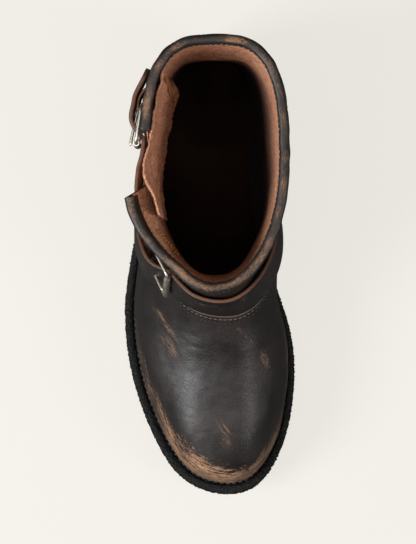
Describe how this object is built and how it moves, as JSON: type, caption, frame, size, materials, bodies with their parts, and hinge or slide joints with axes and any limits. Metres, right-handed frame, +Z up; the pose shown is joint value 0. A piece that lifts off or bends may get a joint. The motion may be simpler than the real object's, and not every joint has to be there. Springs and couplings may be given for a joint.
{
  "type": "engineer boot",
  "caption": "Right-foot pull-on engineer boot with round toe, buckled instep strap and buckled top strap over a slit in the shaft, on a lugged sole.",
  "frame": {"origin": "on the ground under the middle of the boot's box", "axes": "+Z up, -Y towards the toe, +X towards the inner (medial) side of this right boot"},
  "size_m": [0.1138, 0.3015, 0.2365],
  "materials": {
    "upper_leather": "worn black pull-up leather with brown rub at the toe",
    "collar_leather": "black binding leather rubbed brown at its fold",
    "strap_leather": "black strap leather with raw brown edges",
    "suede": "brown suede",
    "insole_leather": "bare tan leather board",
    "welt_leather": "black dressed edge",
    "sole_rubber": "matt black rubber",
    "nickel": "worn nickel plate"
  },
  "bodies": {
    "root": {"outsole": "sole_rubber", "heel_stack": "sole_rubber", "heel_top_lift": "sole_rubber", "midsole": "welt_leather", "welt": "welt_leather", "insole": "insole_leather", "upper": "upper_leather", "heel_counter": "upper_leather", "back_strip": "upper_leather", "collar_band": "collar_leather", "gusset": "suede", "top_strap": "strap_leather", "top_chape": "strap_leather", "top_buckle_frame": "nickel", "top_buckle_roller": "nickel", "top_buckle_prong": "nickel", "instep_strap": "strap_leather", "instep_chape": "strap_leather", "instep_buckle_frame": "nickel", "instep_buckle_roller": "nickel", "instep_buckle_prong": "nickel"}
  },
  "joints": []
}
